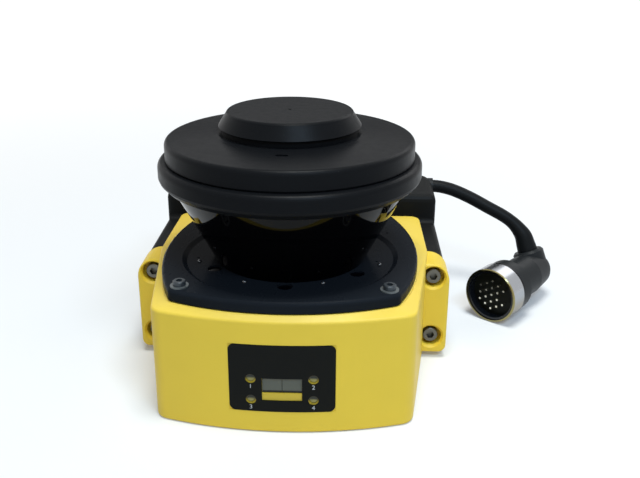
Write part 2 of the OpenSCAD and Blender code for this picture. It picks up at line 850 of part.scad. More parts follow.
module receiver_lens() color("#c8dcea") {
    ball = (lens_r * lens_r + lens_dome * lens_dome) / (2 * lens_dome);
    difference() {
        union() {
            translate([0, 0, lens_z]) cylinder(r = lens_r, h = lens_edge_t);
            intersection() {
                translate([0, 0, lens_z + lens_edge_t - 0.01])
                    cylinder(r = lens_r, h = lens_dome + 1);
                translate([0, 0, lens_z + lens_edge_t + lens_dome - ball])
                    sphere(r = ball);
            }
        }
        translate([0, 0, lens_z - over]) cylinder(r = laser_r + fit_gap, h = 20);
    }
}

module laser_module() color("#b08d3c") {
    difference() {
        union() {
            translate([0, 0, lens_z]) cylinder(r = laser_r, h = laser_top - lens_z);
            translate([0, 0, receiver_z + board_t]) cylinder(r = laser_r + 3, h = 2);
        }
        translate([0, 0, lens_z - over]) cylinder(r = laser_r - 1.5, h = 6);
    }
}

module receiver_board() color(board_green) {
    difference() {
        union() {
            translate([0, 0, receiver_z]) cylinder(r = receiver_board_r, h = board_t);
            for (a = [0 : 60 : 300]) rotate([0, 0, a + 12])
                translate([26, -3, receiver_z + board_t - 0.01]) cube([8, 6, 1.5]);
        }
        translate([0, 0, receiver_z - over]) cylinder(r = laser_r + fit_gap, h = 20);
    }
}

// ---------------------------------------------------------------- motor and rotor

module motor_bracket() color("#9a9ca0") {
    difference() {
        union() {
            translate([0, 0, bracket_z]) cylinder(r = bracket_r, h = bracket_t);
            translate([0, 0, bracket_z])
                cylinder(r = bearing_r + quill_wall, h = quill_top - bracket_z);
        }
        translate([0, 0, bracket_z - over])
            cylinder(r = shaft_r + moving_gap + 1, h = quill_top - bracket_z + 2 * over);
        for (z = [bracket_z - over, quill_top - bearing_h])
            translate([0, 0, z]) cylinder(r = bearing_r + fit_gap, h = bearing_h + over);
        for (a = [30 : 120 : 270]) rotate([0, 0, a])
            translate([bracket_r - 5, 0, bracket_z - over]) cylinder(r = 1.7, h = 9);
    }
}

module bracket_screws() color(steel) {
    for (a = [30 : 120 : 270]) rotate([0, 0, a])
        translate([bracket_r - 5, 0, bracket_z])
            socket_screw(2.5, bracket_screw_l, 2.2, 2);
}

module motor_can() color("#b8babd") {
    difference() {
        translate([0, 0, motor_z]) cylinder(r = motor_r, h = motor_h);
        translate([0, 0, motor_z + motor_wall])
            cylinder(r = motor_r - motor_wall, h = motor_h);
    }
}

module motor_stator() color("#a4552a") {
    difference() {
        ring(stator_r - fit_gap, magnet_r + moving_gap, motor_z + motor_wall, bracket_z - 5);
        for (a = [0 : 40 : 320]) rotate([0, 0, a])
            translate([magnet_r - 2, -1, motor_z]) cube([6, 2, motor_h]);
    }
}

module bearings() color("#c4c6c9") {
    for (z = [bracket_z, quill_top - bearing_h])
        ring(bearing_r, shaft_r + running_gap, z, z + bearing_h);
}

module encoder_sensor() color("#1c1c20") {
    h = encoder_z + encoder_t + 2.5 - dish_z;
    translate([0, 17, dish_z]) rotate([0, 0, 90]) difference() {
        translate([-4, -4, 0]) cube([10, 8, h]);
        translate([-5, -5, encoder_z - dish_z - moving_gap])
            cube([encoder_r - 17 + 5 + moving_gap, 10, encoder_t + 2 * moving_gap]);
    }
}

module rotor_shaft() color("#d2d4d6") {
    translate([0, 0, motor_z + motor_wall + 1])
        cylinder(r = shaft_r, h = mirror_hub_z + 6 - motor_z - motor_wall - 1);
}

module rotor_magnet() color("#5a5c60") {
    ring(magnet_r, shaft_r, motor_z + motor_wall + 2, bracket_z - 6);
}

module encoder_disc() color("#2e3036") {
    difference() {
        ring(encoder_r, shaft_r, encoder_z, encoder_z + encoder_t);
        for (k = [0 : encoder_slots - 1]) rotate([0, 0, 360 / encoder_slots * k])
            translate([encoder_r - 3, -0.6, encoder_z - over])
                cube([2, 1.2, encoder_t + 2 * over]);
    }
}

// Places its children in the plane of the mirror, with +Z along its normal
module at_mirror() {
    translate([0, 0, mirror_z]) rotate([45, 0, 0]) children();
}

module mirror_holder() color("#3a3c40") {
    difference() {
        union() {
            ring(holder_hub_r, shaft_r, mirror_hub_z, mirror_hub_z + 6);
            translate([0, 0, mirror_hub_z + 6]) cylinder(r = holder_hub_r, h = 2);
            intersection() {
                translate([0, 0, mirror_hub_z + 7]) cylinder(r = mirror_r * 0.7, h = 40);
                at_mirror() translate([0, 0, -60]) cylinder(r = mirror_r, h = 60);
            }
        }
        at_mirror() translate([-40, -40, -mirror_t]) cube([80, 80, 40]);
    }
}

module scan_mirror() color("#e8ecf0") {
    at_mirror() translate([0, 0, -mirror_t]) cylinder(r = mirror_r, h = mirror_t);
}

// ---------------------------------------------------------------- boards

main_board_z = cover_t + 5;
board_half = 34;

module main_board() color(board_green) {
    difference() {
        union() {
            translate([-board_half, -34, main_board_z]) cube([2 * board_half, 92, board_t]);
            translate([-12, 30, main_board_z + board_t - 0.01]) cube([22, 22, 1.8]);
            translate([16, 34, main_board_z + board_t - 0.01]) cube([14, 9, 1.4]);
            for (x = [-28, -21]) translate([x, 40, main_board_z + board_t - 0.01])
                cylinder(r = 2.8, h = 8);
            translate([-18, digits_y + 1.2, main_board_z]) cube([36, 20, board_t]);
        }
        board_posts(1.4, main_board_z - over, main_board_z + board_t + over);
    }
}

module board_posts(r, z0, z1) {
    both_sides() for (y = [-29, 53])
        translate([board_half - 4, y, z0]) cylinder(r = r, h = z1 - z0);
}

module board_screws() color(steel) {
    both_sides() for (y = [-29, 53])
        translate([board_half - 4, y, main_board_z + board_t]) mirror([0, 0, 1])
            socket_screw(2.6, 6, 2.3, 1.8);
}

digits_y = base_wall - base_front + 0.3;

module display_board() color(board_green) {
    translate([-18, digits_y + 1.2, main_board_z + board_t])
        cube([36, board_t, label_z + label_h - 4 - main_board_z - board_t]);
}

module display_digits() color("#8d8f92") {
    w = display_w / 2 - 0.2;
    for (s = [-1, 1]) translate([s * display_w / 4 - w / 2, -base_front + 0.9,
        display_z + 0.2])
        cube([w, digits_y + 1.2 + base_front - 0.9, display_h - 0.4]);
}

module status_lamps() color("#6e5a2c") {
    lamp_places() rod_y(0, -base_front + 1.4, 0, lamp_d / 2,
        digits_y + 1.2 + base_front - 1.4);
}

module front_label() color("#1a1a1c") {
    difference() {
        intersection() {
            front_band(label_depth - 0.03, label_proud, label_w / 2 - fit_gap,
                label_z + fit_gap, label_z + label_h - fit_gap);
            along_y(-base_front - 3, -base_front + 6)
                polygon(belt([
                    [3 - label_w / 2, label_z + 3, 3, 5], [label_w / 2 - 3, label_z + 3, 3, 5],
                    [label_w / 2 - 3, label_z + label_h - 3, 3, 5],
                    [3 - label_w / 2, label_z + label_h - 3, 3, 5]
                ]));
        }
        translate([-display_w / 2, -base_front - 3, display_z - strip_h])
            cube([display_w, 9, display_h + strip_h]);
        lamp_places() rod_y(0, -base_front - 3, 0, lamp_d / 2 + 0.6, 9);
    }
}

// ---------------------------------------------------------------- rear housing

rear_belt = [
    [-rear_x + 3, rear_front + 3, 3, 4], [rear_x - 3, rear_front + 3, 3, 4],
    [rear_x - rear_corner_r, rear_back - rear_corner_r, rear_corner_r, 8],
    [-rear_x + rear_corner_r, rear_back - rear_corner_r, rear_corner_r, 8]
];

module ear_screws() color(steel) {
    both_sides() for (z = ear_screw_rows)
        translate([ear_screw_x, ear_front + ear_bore_depth, z]) rotate([-90, 0, 0])
            socket_screw(ear_screw_d, ear_back + ear_thread_l - ear_front - ear_bore_depth,
                ear_head_r, ear_screw_d);
}

module rear_housing() color(black) {
    difference() {
        union() {
            difference() {
                soft_slab(rear_belt, slab(0, rear_h, 1, rear_edge_r));
                translate([-cover_half, rear_front + rear_wall + 4, cover_z0])
                    cube([2 * cover_half, rear_depth, cover_z1 - cover_z0]);
                // Room inside, behind the lip round the cover
                intersection() {
                    soft_slab(
                        corners(rear_x - rear_wall, rear_front + rear_wall,
                            rear_back - rear_wall, 6),
                        slab(rear_wall, rear_h - rear_wall, 0.5, rear_edge_r - 1)
                    );
                    translate([-rear_x, rear_front + rear_wall, 0])
                        cube([rear_w, rear_depth - rear_wall - rear_cover_t - 3, rear_h]);
                }
            }
            // Arms along the flanks of the base, with a fillet at the box
            both_sides() translate([0, rear_front + 4, 0]) rotate([90, 0, 0])
                soft_slab([
                    [arm_in + 1, ear_z + 1, 1, 2], [rear_x - 2.5, ear_z + 2.5, 2.5, 4],
                    [rear_x - 2.5, arm_top - 2.5, 2.5, 4], [arm_in + 1, arm_top - 1, 1, 2]
                ], slab(0, rear_front + 4 - ear_back, 0, 0.3));
            both_sides() difference() {
                translate([arm_in, rear_front - 3, arm_top - 4])
                    cube([arm_w - 1.2, 4, 7]);
                translate([arm_in - over, rear_front - 3, arm_top + 3]) rotate([0, 90, 0])
                    cylinder(r = 3, h = arm_w + 2 * over, $fn = 48);
            }
            // Bosses for the cover screws
            for (x = [-1, 1], z = [-1, 1])
                rod_y(x * (cover_screw_x + 1), rear_front + 1, cover_mid + z * (cover_screw_z + 1),
                    4.4, rear_depth - rear_cover_t - 1);
        }
        // Way through for the link connector
        translate([-link_w / 2, rear_front - over, link_z - link_h / 2])
            cube([link_w, rear_wall + 2 * over, link_h]);
        both_sides() for (z = ear_screw_rows)
            rod_y(ear_screw_x, ear_back - over, z, ear_screw_d / 2 + fit_gap,
                ear_thread_l + 2 * over);
        for (x = [-1, 1], z = [-1, 1])
            rod_y(x * cover_screw_x, rear_back - 20, cover_mid + z * cover_screw_z,
                1.6, 22);
        // Seat of the gland
        translate([rear_x - rear_wall - 6, lead_exit[1], lead_exit[2]]) rotate([0, 90, 0])
            cylinder(r = gland_r + fit_gap, h = 30);
    }
}

module link_seal() color("#2b2b2b") {
    difference() {
        translate([-link_w / 2 - 3, base_rear, link_z - link_h / 2 - 3])
            cube([link_w + 6, link_seal_t, link_h + 6]);
        translate([-link_w / 2, base_rear - over, link_z - link_h / 2])
            cube([link_w, link_seal_t + 2 * over, link_h]);
    }
}

module link_connector() color("#3b3d40") {
    y0 = base_rear - base_wall - 6;
    translate([-link_w / 2 + 0.4, y0, link_z - link_h / 2 + 0.4])
        cube([link_w - 0.8, rear_front + rear_wall + 6 - y0, link_h - 0.8]);
}

module rear_cover() color(black) {
    difference() {
        along_y(rear_back - rear_cover_t, rear_back)
            polygon(belt([
                [2 - cover_half + fit_gap, cover_z0 + 2 + fit_gap, 2, 4],
                [cover_half - 2 - fit_gap, cover_z0 + 2 + fit_gap, 2, 4],
                [cover_half - 2 - fit_gap, cover_z1 - 2 - fit_gap, 2, 4],
                [2 - cover_half + fit_gap, cover_z1 - 2 - fit_gap, 2, 4]
            ]));
        for (x = [-1, 1], z = [-1, 1]) {
            rod_y(x * cover_screw_x, rear_back - rear_cover_t - over,
                cover_mid + z * cover_screw_z, 1.8, rear_cover_t + 2 * over);
            rod_y(x * cover_screw_x, rear_back - 2.4,
                cover_mid + z * cover_screw_z, 3.2, 2.4 + over);
            rod_y(x * mount_gap_x / 2, rear_back - rear_cover_t - over,
                cover_mid + z * mount_gap_z / 2, mount_hole_d / 2, rear_cover_t + 2 * over);
        }
    }
}

module rear_cover_screws() color(steel) {
    for (x = [-1, 1], z = [-1, 1])
        translate([x * cover_screw_x, rear_back - 2.4, cover_mid + z * cover_screw_z])
            rotate([90, 0, 0]) socket_screw(3, 12, 2.9, 2.2);
}

module terminal_board() color(board_green) {
    y0 = rear_front + rear_wall + 6;
    translate([-46, y0, cover_z0 + 3]) cube([92, board_t, cover_z1 - cover_z0 - 6]);
    for (x = [-40 : 10 : 30])
        translate([x, y0 + board_t - 0.01, link_z + 14]) cube([9, 7, 8]);
}

// ---------------------------------------------------------------- lead

// Points of the route smoothed by the corners' midpoints
function soften(p) = concat(
    [p[0]],
    [for (i = [1 : len(p) - 2]) (p[i - 1] + 2 * p[i] + p[i + 1]) / 4],
    [p[len(p) - 1]]
);

// Direction of a path at point i
function heading(p, i) =
    let (d = p[min(i + 1, len(p) - 1)] - p[max(i - 1, 0)]) d / norm(d);

// Ring of points square to a heading
function ring_at(c, h, r, n) =
    let (
        a = cross(h, [0, 1, 0]) / norm(cross(h, [0, 1, 0])),
        b = cross(h, a)
    )
    [for (k = [0 : n - 1]) c + r * (cos(360 * k / n) * b + sin(360 * k / n) * a)];

// Round tube along part of a path, its radius going from r0 to r1
module tube(p, from, to, r0, r1, n = 12) {
    skin([for (i = [from : to])
        ring_at(p[i], heading(p, i), r0 + (r1 - r0) * (i - from) / (to - from), n)]);
}

// Elbow point and the line up its neck
elbow = face_at + elbow_at * [cos(face_turn), sin(face_turn), 0];
neck = [-sin(face_turn) * sin(elbow_tilt), cos(face_turn) * sin(elbow_tilt), cos(elbow_tilt)];
lead_path = concat(soften(route), [elbow + neck * (elbow_neck + 3), elbow + neck * elbow_neck]);
boot_from = 12;

module lead_gland() color(black) {
    translate([rear_x, lead_exit[1], lead_exit[2]]) rotate([0, 90, 0]) difference() {
        translate([0, 0, -rear_wall - 5]) cylinder(r = gland_r, h = rear_wall + 5.6);
        cylinder(r = lead_r + fit_gap, h = 20);
    }
}

module lead() color("#1c1d20") {
    tube(lead_path, 0, boot_from, lead_r, lead_r);
}

module lead_boot() color("#1c1d20") {
    tube(lead_path, boot_from, len(lead_path) - 1, lead_r + 0.3, lead_r + 1.9);
}

// ---------------------------------------------------------------- connector

// Places its children on the connector: +Z runs from its face to its back
module on_connector() {
    translate(face_at) rotate([0, 0, face_turn]) rotate([0, 90, 0]) children();
}

module coupling_ring() color("#c8cacd") {
    on_connector() rotate_extrude() polygon([
        [coupling_r - coupling_wall, 0], [coupling_r - 0.4, 0], [coupling_r, 0.4],
        [coupling_r, coupling_l - 0.3], [coupling_r - 0.3, coupling_l],
        [coupling_r - coupling_wall, coupling_l]
    ]);
}

module connector_shell() color(gloss_black) {
    on_connector() ring(spigot_r, insert_r, 0.8, collar_z);
}

module contact_insert() color("#17181a") {
    on_connector() translate([0, 0, socket_depth])
        cylinder(r = insert_r - fit_gap / 2, h = collar_z - socket_depth);
}

// Pins stand in five columns of a triangular pattern, with one place left empty
pin_places = [for (i = [-2 : 2]) for (j = [0 : 4 - abs(i)])
    if (!(i == 2 && j == 1))
        [(j - (4 - abs(i)) / 2) * pin_pitch, -i * pin_pitch * cos(30)]];

module contact_pins() color("#d8d2c0") {
    on_connector() for (p = pin_places) translate([p[0], p[1], 1.8])
        cylinder(d = pin_d, h = socket_depth - 1.8, $fn = 16);
}

module connector_hood() color(black) {
    hood_l = elbow_at - collar_z - collar_l;
    on_connector() rotate_extrude() polygon(concat([
        [0, collar_z], [collar_r - 0.6, collar_z], [collar_r, collar_z + 0.6],
        [collar_r, collar_z + collar_l - 1.4], [collar_r - 1.4, collar_z + collar_l],
        [hood_r, collar_z + collar_l + 0.4], [hood_r, collar_z + collar_l + hood_l * 0.6]],
        [for (a = [0 : 15 : 90]) [elbow_r * cos(a), elbow_at + (elbow_r - 1) * sin(a)]]
    ));
    translate(elbow) rotate([0, 0, face_turn]) rotate([-elbow_tilt, 0, 0])
        rotate_extrude() polygon([
            [0, 0], [elbow_r - 1.2, 0], [elbow_r - 1.2, elbow_neck - 1.2],
            [elbow_r - 2.2, elbow_neck], [0, elbow_neck]
        ]);
}

base_housing();
bottom_cover();
bottom_screws();
plate_gasket();
optics_plate();
plate_screws();
plate_washers();
scan_window();
window_seal();
sensor_windows();
sensor_domes();
head_ring();
head_seal();
head_cover();
head_screws();
top_cap();
lens_holder();
receiver_lens();
laser_module();
receiver_board();
motor_bracket();
bracket_screws();
motor_can();
motor_stator();
bearings();
encoder_sensor();
rotor_shaft();
rotor_magnet();
encoder_disc();
mirror_holder();
scan_mirror();
main_board();
board_screws();
display_board();
display_digits();
status_lamps();
front_label();
ear_screws();
rear_housing();
link_seal();
link_connector();
rear_cover();
rear_cover_screws();
terminal_board();
lead_gland();
lead();
lead_boot();
connector_hood();
connector_shell();
contact_insert();
contact_pins();
coupling_ring();
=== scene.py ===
"""Looks of a safety laser scanner: finishes, lead, rear housing, printed numerals and studio."""

import math

import bmesh
import bpy
from mathutils import Matrix, Vector


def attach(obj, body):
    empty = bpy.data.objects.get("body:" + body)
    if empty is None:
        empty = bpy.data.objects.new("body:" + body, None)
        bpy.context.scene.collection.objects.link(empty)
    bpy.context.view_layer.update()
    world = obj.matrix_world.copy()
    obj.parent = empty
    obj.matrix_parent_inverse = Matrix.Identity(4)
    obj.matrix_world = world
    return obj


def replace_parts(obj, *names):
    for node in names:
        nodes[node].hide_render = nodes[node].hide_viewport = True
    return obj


MM = 0.001
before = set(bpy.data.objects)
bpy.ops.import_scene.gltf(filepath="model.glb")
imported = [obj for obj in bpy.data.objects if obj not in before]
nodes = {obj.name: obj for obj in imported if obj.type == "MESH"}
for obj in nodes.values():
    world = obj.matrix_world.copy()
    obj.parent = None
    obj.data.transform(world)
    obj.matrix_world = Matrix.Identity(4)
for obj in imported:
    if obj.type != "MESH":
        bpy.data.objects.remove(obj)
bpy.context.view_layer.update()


# ---------------------------------------------------------------- places, in millimetres

# Lamps and display on the front panel, whose middle is the foremost point.
FRONT_Y = -56.8
PANEL_DEPTH = 6.8
LAMP_X = 12.5
LAMP_Z = (15.0, 24.4)
LAMP_HOLE = 2.3
DISPLAY_FOOT = 18.8
SILL_HALF_WIDTH = 8.2
SILL_Z = (14.5, 18.2)

# How far above a lamp's axis its amber gives way to painted shade, and over what heights the painted
# shade in its hole deepens.
AMBER_EDGE = (0.5, -0.7)
HOLE_SHADE_EDGE = (-0.9, 0.5)

# Height over which a painted highlight pales the yellow housing towards its top edge.
TOP_HIGHLIGHT_Z = (47.5, 51)

# The label bends round an upright axis behind the front.
LABEL_BOW = 162.0
LABEL_BOW_Y = LABEL_BOW + FRONT_Y
PRINT_PROUD = 0.19
NUMERAL_DROP = 3.4
NUMERAL_SIZE = 2.7

# Flat top of the rear housing, and where its front corners are.
REAR_TOP = 59.5
REAR_CORNER = (66.4, 76.0)
REAR_CORNER_ROUND = 1.1

# The connector lies on the floor, turned away from the scanner.
CONNECTOR_FACE = Vector((97.5, 47.5, 14.2))
CONNECTOR_TURN = math.radians(51)
CONNECTOR_LENGTH = 46
COUPLING_RIM = (0.8, 0.4)
COUPLING_PLATED = 10
COUPLING_REFLECTION_Z = (17, 9)
ELBOW_TILT = math.radians(24)
ELBOW_BOOT = (14, 11)
along_connector = Vector((math.cos(CONNECTOR_TURN), math.sin(CONNECTOR_TURN), 0))

# The lead from the gland down to the boot, and then the boot.
LEAD_RADIUS = 3.4
BOOT_SWELL = 1.9
BOOT_FROM = 12
ROUTE = [
    (70.4, 102, 55), (72, 102, 55), (73.6, 102, 55), (77.5, 101.5, 54.5), (82, 101, 53.5),
    (86, 100, 52), (90, 99, 50.5), (93.5, 98, 49), (97, 96.5, 47.5),
    (101, 95, 45.5), (104.5, 94, 44), (108.5, 92.5, 42.3), (112, 91.5, 40.3),
    (115.5, 90.3, 37.8), (118.3, 89, 34.9), (120.4, 88, 31.6),
]
STEPS = 10


# ---------------------------------------------------------------- shader sums


class Wire:
    """A socket that can be used in sums."""

    def __init__(self, paint, socket):
        self.paint = paint
        self.socket = socket

    def __add__(self, other):
        return self.paint.maths("ADD", self, other)

    def __sub__(self, other):
        return self.paint.maths("SUBTRACT", self, other)

    def __rsub__(self, other):
        return self.paint.maths("SUBTRACT", other, self)

    def __mul__(self, other):
        return self.paint.maths("MULTIPLY", self, other)

    def __lt__(self, other):
        return self.paint.maths("LESS_THAN", self, other)

    def __gt__(self, other):
        return self.paint.maths("GREATER_THAN", self, other)

    __radd__ = __add__
    __rmul__ = __mul__


class Paint:
    """A material built round one Principled shader."""

    def __init__(self, name, color, roughness, **constants):
        self.material = bpy.data.materials.new(name)
        self.material.use_nodes = True
        self.tree = self.material.node_tree
        self.shader = self.tree.nodes["Principled BSDF"]
        self.set(base_color=(*color, 1.0), roughness=roughness, **constants)
        self.material.diffuse_color = (*color, 1.0)

    def plug(self, socket, value):
        """Gives a socket a link or a value, or leaves it alone for None."""
        if isinstance(value, Wire):
            self.tree.links.new(value.socket, socket)
        elif value is not None:
            socket.default_value = value

    def set(self, **sockets):
        """Sets sockets of the shader, named in small letters with underscores."""
        for name, value in sockets.items():
            title = name.replace("_", " ").title().replace("Ior", "IOR")
            self.plug(self.shader.inputs[title], value)
        return self

    def node(self, kind, settings=None, inputs=None, output=0):
        """Any node: its settings first, then the values or links of its sockets."""
        made = self.tree.nodes.new(kind)
        for name, value in (settings or {}).items():
            setattr(made, name, value)
        for key, value in (inputs or {}).items():
            self.plug(made.inputs[key], value)
        return Wire(self, made.outputs[output])

    def maths(self, operation, first, second=None):
        return self.node("ShaderNodeMath", {"operation": operation}, {0: first, 1: second})

    def place(self):
        return self.node("ShaderNodeTexCoord", output="Object")

    def axes(self):
        """x, y and z on the object, in metres."""
        split = self.node("ShaderNodeSeparateXYZ", None, {0: self.place()})
        outputs = split.socket.node.outputs
        return [Wire(self, outputs[k]) for k in range(3)]

    def seen(self):
        """1 for the camera's rays and for those of reflections and of glass."""
        shown = self.node("ShaderNodeLightPath", output="Is Camera Ray")
        outputs = shown.socket.node.outputs
        for also in ("Is Glossy Ray", "Is Transmission Ray"):
            shown = self.maths("MAXIMUM", shown, Wire(self, outputs[also]))
        return shown

    def coat(self):
        """The colour that has been mixed so far."""
        return Wire(self, self.shader.inputs["Base Color"].links[0].from_socket)

    def noise(self, size, detail=3.0, roughness=0.55, stretch=None):
        """Noise between 0 and 1 whose blobs are about size metres across."""
        vector = self.place()
        if stretch:
            vector = self.node("ShaderNodeMapping", None, {"Vector": vector, "Scale": stretch})
        inputs = {"Vector": vector, "Scale": 1 / size, "Detail": detail, "Roughness": roughness}
        return self.node("ShaderNodeTexNoise", None, inputs)

    def smooth_step(self, value, low, high):
        """0 at low and 1 at high, smooth between."""
        settings = {"interpolation_type": "SMOOTHSTEP", "clamp": True}
        return self.node("ShaderNodeMapRange", settings, {0: value, 1: low, 2: high})

    def band(self, length, low, high):
        """Smooth step of a length, between two places in millimetres."""
        return self.smooth_step(length, low * MM, high * MM)

    def blend(self, factor, first, second):
        """Mix of two colours."""
        inputs = {0: factor, 6: self.rgba(first), 7: self.rgba(second)}
        return self.node("ShaderNodeMix", {"data_type": "RGBA"}, inputs, output=2)

    def rgba(self, color):
        return color if isinstance(color, Wire) else (*color, 1.0)

    def dents(self, height, distance):
        """Bump of a height field, distance metres deep."""
        inputs = {"Height": height, "Distance": distance}
        return self.set(normal=self.node("ShaderNodeBump", None, inputs))


# ---------------------------------------------------------------- kinds of finish


def powder_coat(name, color, roughness, sheen):
    """Sprayed coat with a fine orange-peel skin and slight unevenness."""
    paint = Paint(name, color, roughness, specular_ior_level=sheen)
    deeper = [c * 0.93 for c in color]
    paint.set(base_color=paint.blend(paint.noise(18 * MM, 2.0), color, deeper))
    paint.set(roughness=paint.noise(4 * MM) * 0.12 + (roughness - 0.06))
    return paint.dents(paint.noise(0.5 * MM, 2.0), 0.03 * MM)


def moulded(name, color, roughness, grain=0.35, depth=0.02, dust=0.0, sheen=0.5):
    """Moulded plastic with a fine spark-eroded skin and pale specks of dust."""
    paint = Paint(name, color, roughness, specular_ior_level=sheen)
    speck = paint.smooth_step(paint.noise(0.6 * MM, 4.0, 0.7), 0.66, 0.78) * dust
    pale = [c * 0.6 + 0.1 for c in color]
    paint.set(base_color=paint.blend(speck, color, pale))
    paint.set(roughness=paint.noise(3 * MM) * 0.14 + (roughness - 0.07))
    return paint.dents(paint.noise(grain * MM, 2.0), depth * MM)


def polished(name, color, roughness, haze=0.08, **constants):
    """Glossy plastic with faint wiping haze."""
    paint = Paint(name, color, roughness, **constants)
    wipe = paint.noise(9 * MM, 4.0, 0.6, stretch=(1.0, 0.35, 1.0))
    return paint.set(roughness=wipe * haze + (roughness - haze / 2))


def metal(name, color, roughness):
    """Bare or plated metal with a fine grain."""
    paint = Paint(name, color, roughness, metallic=1.0)
    grain = paint.noise(0.5 * MM)
    paint.set(roughness=grain * 0.16 + (roughness - 0.08))
    return paint.dents(grain, 0.004 * MM)


# ---------------------------------------------------------------- finishes with a place of their own


def lamp_offsets(paint):
    """How far a point lies from the axis of its nearest lamp, sideways and upwards."""
    x, _, z = paint.axes()
    low_row, high_row = LAMP_Z
    in_high_row = z > (low_row + high_row) / 2 * MM
    sideways = paint.maths("ABSOLUTE", x) - LAMP_X * MM
    return sideways, z - low_row * MM - in_high_row * ((high_row - low_row) * MM)


def two_tone_lamps():
    """Amber lamp resin with painted shade over its upper part."""
    paint = Paint("lamp", (0.3, 0.25, 0.07), 0.3, specular_ior_level=0.3)
    _, above = lamp_offsets(paint)
    amber = paint.band(above, *AMBER_EDGE)
    # Painted shade: the upper part of each lamp is dark, the lower part keeps its amber.
    return paint.set(base_color=paint.blend(amber, (0.03, 0.034, 0.026), (0.36, 0.31, 0.1)))


def display_grey():
    """Grey display whose foot is dark."""
    paint = moulded("digit_grey", (0.1, 0.103, 0.08), 0.4, sheen=0.3)
    _, _, z = paint.axes()
    foot = paint.band(z, DISPLAY_FOOT + 0.5, DISPLAY_FOOT)
    return paint.set(base_color=paint.blend(foot, paint.coat(), (0.006, 0.006, 0.006)))


def housing_yellow():
    """Yellow coat with a painted highlight paling its top edge, and painted shade in the lamp holes
    and on the display's sill.
    """
    paint = powder_coat("yellow_coat", (0.82, 0.575, 0.044), 0.46, 0.34)
    x, y, z = paint.axes()
    # Painted highlight: the coat is mixed a little towards a pale tint near the top edge.
    painted_top_highlight = paint.band(z, *TOP_HIGHLIGHT_Z) * 0.05
    coat = paint.blend(painted_top_highlight, paint.coat(), (0.86, 0.9, 0.8))
    sideways, above = lamp_offsets(paint)
    # Painted shade: darkens the lamp holes, most at their upper side, and the sill under the
    # display.
    in_hole = paint.maths("SQRT", sideways * sideways + above * above) < LAMP_HOLE * MM
    hole_shade = paint.band(above, *HOLE_SHADE_EDGE) * 0.65 + 0.3
    over_sill = (z > SILL_Z[0] * MM) * (z < SILL_Z[1] * MM)
    on_sill = (paint.maths("ABSOLUTE", x) < SILL_HALF_WIDTH * MM) * over_sill
    in_front = y < (FRONT_Y + PANEL_DEPTH) * MM
    shade = in_front * (in_hole * hole_shade + on_sill * 0.25)
    return paint.set(base_color=paint.blend(shade, coat, (0.02, 0.018, 0.012)))


def coupling_plate():
    """Plated ring with a brassy rim, a painted reflection that darkens and warms it underneath, and
    black behind its grip.
    """
    paint = metal("coupling_metal", (0.8, 0.79, 0.76), 0.22)
    x, y, z = paint.axes()
    back = x * along_connector.x + y * along_connector.y
    face = CONNECTOR_FACE.dot(along_connector)
    brass = paint.band(back, *[face + edge for edge in COUPLING_RIM])
    # Painted reflection: the plating turns darker and warmer towards the bottom of the ring.
    painted_reflection = paint.band(z, *COUPLING_REFLECTION_Z)
    plated = paint.blend(painted_reflection, (0.37, 0.385, 0.41), (0.235, 0.2, 0.145))
    behind = back > (face + COUPLING_PLATED) * MM
    plated = paint.blend(behind, plated, (0.02, 0.02, 0.02))
    return paint.set(base_color=paint.blend(brass, plated, (0.3, 0.26, 0.12)))


# ---------------------------------------------------------------- finish of each piece

black_coat = powder_coat("black_coat", (0.009, 0.0095, 0.0095), 0.42, 0.045)
black_shell = moulded("black_shell", (0.0048, 0.0053, 0.0062), 0.34, dust=0.5, sheen=0.05)
seal_rubber = moulded("seal", (0.01, 0.01, 0.01), 0.75, sheen=0.2)
screw_steel = metal("screws", (0.13, 0.125, 0.108), 0.38)
black_aluminium = metal("black_aluminium", (0.06, 0.06, 0.065), 0.45)
board_green = moulded("board", (0.012, 0.09, 0.035), 0.38)
motor_steel = metal("motor_steel", (0.5, 0.5, 0.52), 0.3)
print_white = Paint("print_white", (0.5, 0.51, 0.51), 0.5)
lead_black = moulded("lead", (0.0085, 0.0093, 0.0098), 0.38, grain=0.4, sheen=0.05)
connector_black = moulded("connector_black", (0.014, 0.0155, 0.0165), 0.4, sheen=0.1)

